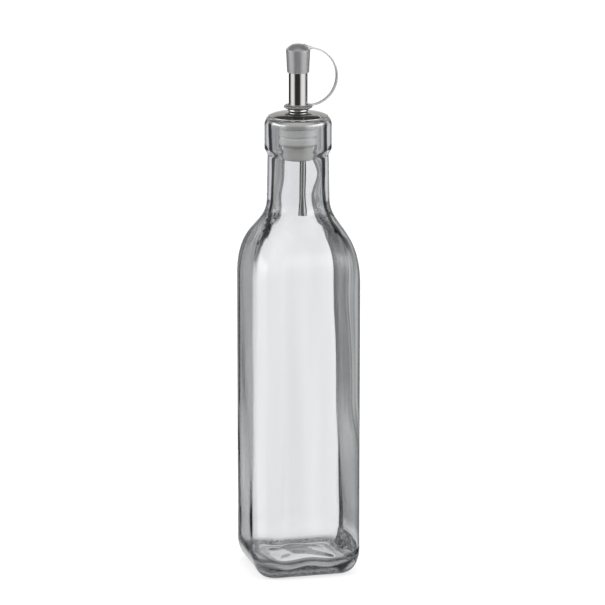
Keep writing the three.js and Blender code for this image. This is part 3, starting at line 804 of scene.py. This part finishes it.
# Floor: part of its white is its own glow, less of it near the bottle, where a soft shadow shows, and more
# farther out, where it stays white. The glow is given for what it lights and for the camera.
floorLook = {
    "size": 9.0, "color": (0.95, 0.95, 0.95, 1), "own": (0.05, 0.3, 0.35, 0.55), "glow": (0.45, 1.78),
}
floorSide = floorLook["size"]
floorCorners = [(-floorSide, -floorSide, 0), (floorSide, -floorSide, 0)]
floorCorners += [(floorSide, floorSide, 0), (-floorSide, floorSide, 0)]
floorMesh = bpy.data.meshes.new("floor")
floorMesh.from_pydata(floorCorners, [], [(0, 1, 2, 3)])
floor = bpy.data.objects.new("floor", floorMesh)
scene.collection.objects.link(floor)
floorMaterial = bpy.data.materials.new("paleFloor")
floorMaterial.use_nodes = True
tree = floorMaterial.node_tree
tree.nodes.remove(tree.nodes["Principled BSDF"])
floorRay = addNode(tree, "ShaderNodeLightPath").outputs
matte = addNode(tree, "ShaderNodeBsdfDiffuse", {"Color": floorLook["color"]}).outputs[0]
glowStrength = mapped(tree, floorRay["Is Camera Ray"], 0, 1, *floorLook["glow"])
glow = addNode(tree, "ShaderNodeEmission", {"Color": (1, 1, 1, 1), "Strength": glowStrength}).outputs[0]
away = addNode(tree, "ShaderNodeVectorMath", {0: ownPlace(tree)}, operation="LENGTH").outputs["Value"]
own = eased(tree, away, *floorLook["own"])
floorMix = addNode(tree, "ShaderNodeMixShader", {0: own, 1: matte, 2: glow}).outputs[0]
fill(tree, tree.nodes["Material Output"], {"Surface": floorMix})
floorMesh.materials.append(floorMaterial)
floor.visible_transmission = False
floor.visible_glossy = False

# Studio round the object, by direction. Angles are compass degrees, and patches are (half width, softness) in
# degrees. Rows of (start, stop) or (start, stop, low, high) go by how far up a direction points, from -1 to
# 1. The camera sees white. Matte surfaces get an even light, with more from behind. Polished surfaces see two
# soft boxes, a white wall, a ceiling and a pale floor. Clear glass sees white to the sides, grey steeply up
# or down, and streaks of grey where light is turned inside the glass.
studio = {
    "wallAt": 75.69, "cameraAt": -104.31, "boxesAt": (-40, 183.5),
    "even": 0.26, "behind": 0.85, "behindPatch": (55, 30),
    "dim": 0.04, "wall": 1.0, "wallPatch": (24, 4), "rightPatch": (24, 23), "leftPatch": (20, 19),
    "boxUp": (-0.1, 0.2, 1.05, 3.3), "boxEnd": (0.45, 0.3),
    "overhead": (0.02, 0.2), "ceiling": (0.42, 0.62, 0.48, 0.06), "front": 0.8, "frontPatch": (60, 25),
    "below": (-0.3, -0.45), "floor": 0.85,
    "steep": 0.32, "upward": (0.3, 0.5), "downward": (-0.5, -0.7),
    "streaks": (5, 5, 1.2), "inner": (0.35, 0.65, 0.27, 0.54), "innerFront": 0.32, "innerFrontPatch": (70, 4),
    "innerWall": 0.5, "innerWallPatch": (12, 7), "innerBoxes": (0.55, 0.2), "innerBoxPatch": (24, 4),
}
world = bpy.data.worlds.new("studio")
world.use_nodes = True
world.cycles.sampling_method = "NONE"
scene.world = world
tree = world.node_tree
tree.nodes.clear()
worldRay = addNode(tree, "ShaderNodeLightPath").outputs
toward = addNode(tree, "ShaderNodeTexCoord").outputs["Generated"]
up = addNode(tree, "ShaderNodeSeparateXYZ", {0: toward}).outputs["Z"]
level = addNode(tree, "ShaderNodeVectorMath", {0: toward, 1: (1, 1, 0)}, operation="MULTIPLY").outputs[0]
level = addNode(tree, "ShaderNodeVectorMath", {0: level}, operation="NORMALIZE").outputs[0]


# 1 inside a patch round a compass direction and 0 outside it, with a soft edge on either side of half.
def patch(degrees, half, soft):
    angle = math.radians(degrees)
    aim = (math.cos(angle), math.sin(angle), 0)
    near = addNode(tree, "ShaderNodeVectorMath", {0: level, 1: aim}, operation="DOT_PRODUCT").outputs["Value"]
    return eased(tree, near, math.cos(math.radians(half + soft)), math.cos(math.radians(half - soft)))


# What polished surfaces see.
rightBox = patch(studio["boxesAt"][0], *studio["rightPatch"])
leftBox = patch(studio["boxesAt"][1], *studio["leftPatch"])
boxUp = times(tree, mapped(tree, up, *studio["boxUp"]), mapped(tree, up, *studio["boxEnd"]))
boxes = times(tree, maths(tree, "ADD", rightBox, leftBox), boxUp)
white = times(tree, patch(studio["wallAt"], *studio["wallPatch"]), studio["wall"])
around = maths(tree, "ADD", white, studio["dim"])
ceiling = eased(tree, up, *studio["ceiling"])
mirroredOnce = maths(tree, "LESS_THAN", worldRay["Glossy Depth"], 1.5)
inFront = times(tree, patch(studio["cameraAt"], *studio["frontPatch"]), mirroredOnce)
ceiling = mixed(tree, inFront, ceiling, studio["front"])
shiny = maths(tree, "ADD", mixed(tree, eased(tree, up, *studio["overhead"]), around, ceiling), boxes)
shiny = mixed(tree, eased(tree, up, *studio["below"]), shiny, studio["floor"])

# What clear glass sees straight through, and what it sees by light turned inside it.
upward = eased(tree, up, *studio["upward"])
steep = maths(tree, "MAXIMUM", upward, eased(tree, up, *studio["downward"]))
clearView = mixed(tree, steep, 1.0, studio["steep"])
streakSockets = {0: toward, 1: studio["streaks"]}
streakPlace = addNode(tree, "ShaderNodeVectorMath", streakSockets, operation="MULTIPLY").outputs[0]
innerView = mapped(tree, noise(tree, streakPlace, 1, 1), *studio["inner"])
frontPatch = patch(studio["cameraAt"], *studio["innerFrontPatch"])
innerView = mixed(tree, frontPatch, innerView, studio["innerFront"])
wallPatch = patch(studio["wallAt"], *studio["innerWallPatch"])
innerView = mixed(tree, wallPatch, innerView, studio["innerWall"])
for degrees, bright in zip(studio["boxesAt"], studio["innerBoxes"]):
    innerBox = times(tree, patch(degrees, *studio["innerBoxPatch"]), bright)
    innerView = maths(tree, "ADD", innerView, innerBox)

# Which of these is seen depends on where the ray has been.
behind = patch(studio["wallAt"], *studio["behindPatch"])
evenView = mixed(tree, behind, studio["even"], studio["behind"])
turnedInside = maths(tree, "GREATER_THAN", worldRay["Glossy Depth"], 0.5)
throughGlass = maths(tree, "GREATER_THAN", worldRay["Transmission Depth"], 0.5)
fromMatte = maths(tree, "GREATER_THAN", worldRay["Diffuse Depth"], 0.5)
seen = mixed(tree, throughGlass, shiny, mixed(tree, turnedInside, clearView, innerView))
seen = mixed(tree, fromMatte, seen, evenView)
seen = mixed(tree, worldRay["Is Camera Ray"], seen, 1.0)
light = addNode(tree, "ShaderNodeBackground", {"Color": (1, 1, 1, 1), "Strength": seen})
addNode(tree, "ShaderNodeOutputWorld", {"Surface": light.outputs[0]})

# Two broad lamps, where the soft boxes are, light the matte pieces from both sides.
lamps = {"width": 0.35, "height": 0.9, "distance": 1.1, "up": 0.78, "watts": 8.0, "aim": (0, 0, 0.2)}
for degrees in studio["boxesAt"]:
    lampData = bpy.data.lights.new("softBox", "AREA")
    lampData.shape = "RECTANGLE"
    lampData.size = lamps["width"]
    lampData.size_y = lamps["height"]
    lampData.energy = lamps["watts"]
    lamp = bpy.data.objects.new("softBox", lampData)
    angle = math.radians(degrees)
    lamp.location = (lamps["distance"] * math.cos(angle), lamps["distance"] * math.sin(angle), lamps["up"])
    lamp.rotation_euler = (lamp.location - Vector(lamps["aim"])).to_track_quat("Z", "Y").to_euler()
    lamp.visible_glossy = False
    lamp.visible_transmission = False
    scene.collection.objects.link(lamp)
print("studio set")
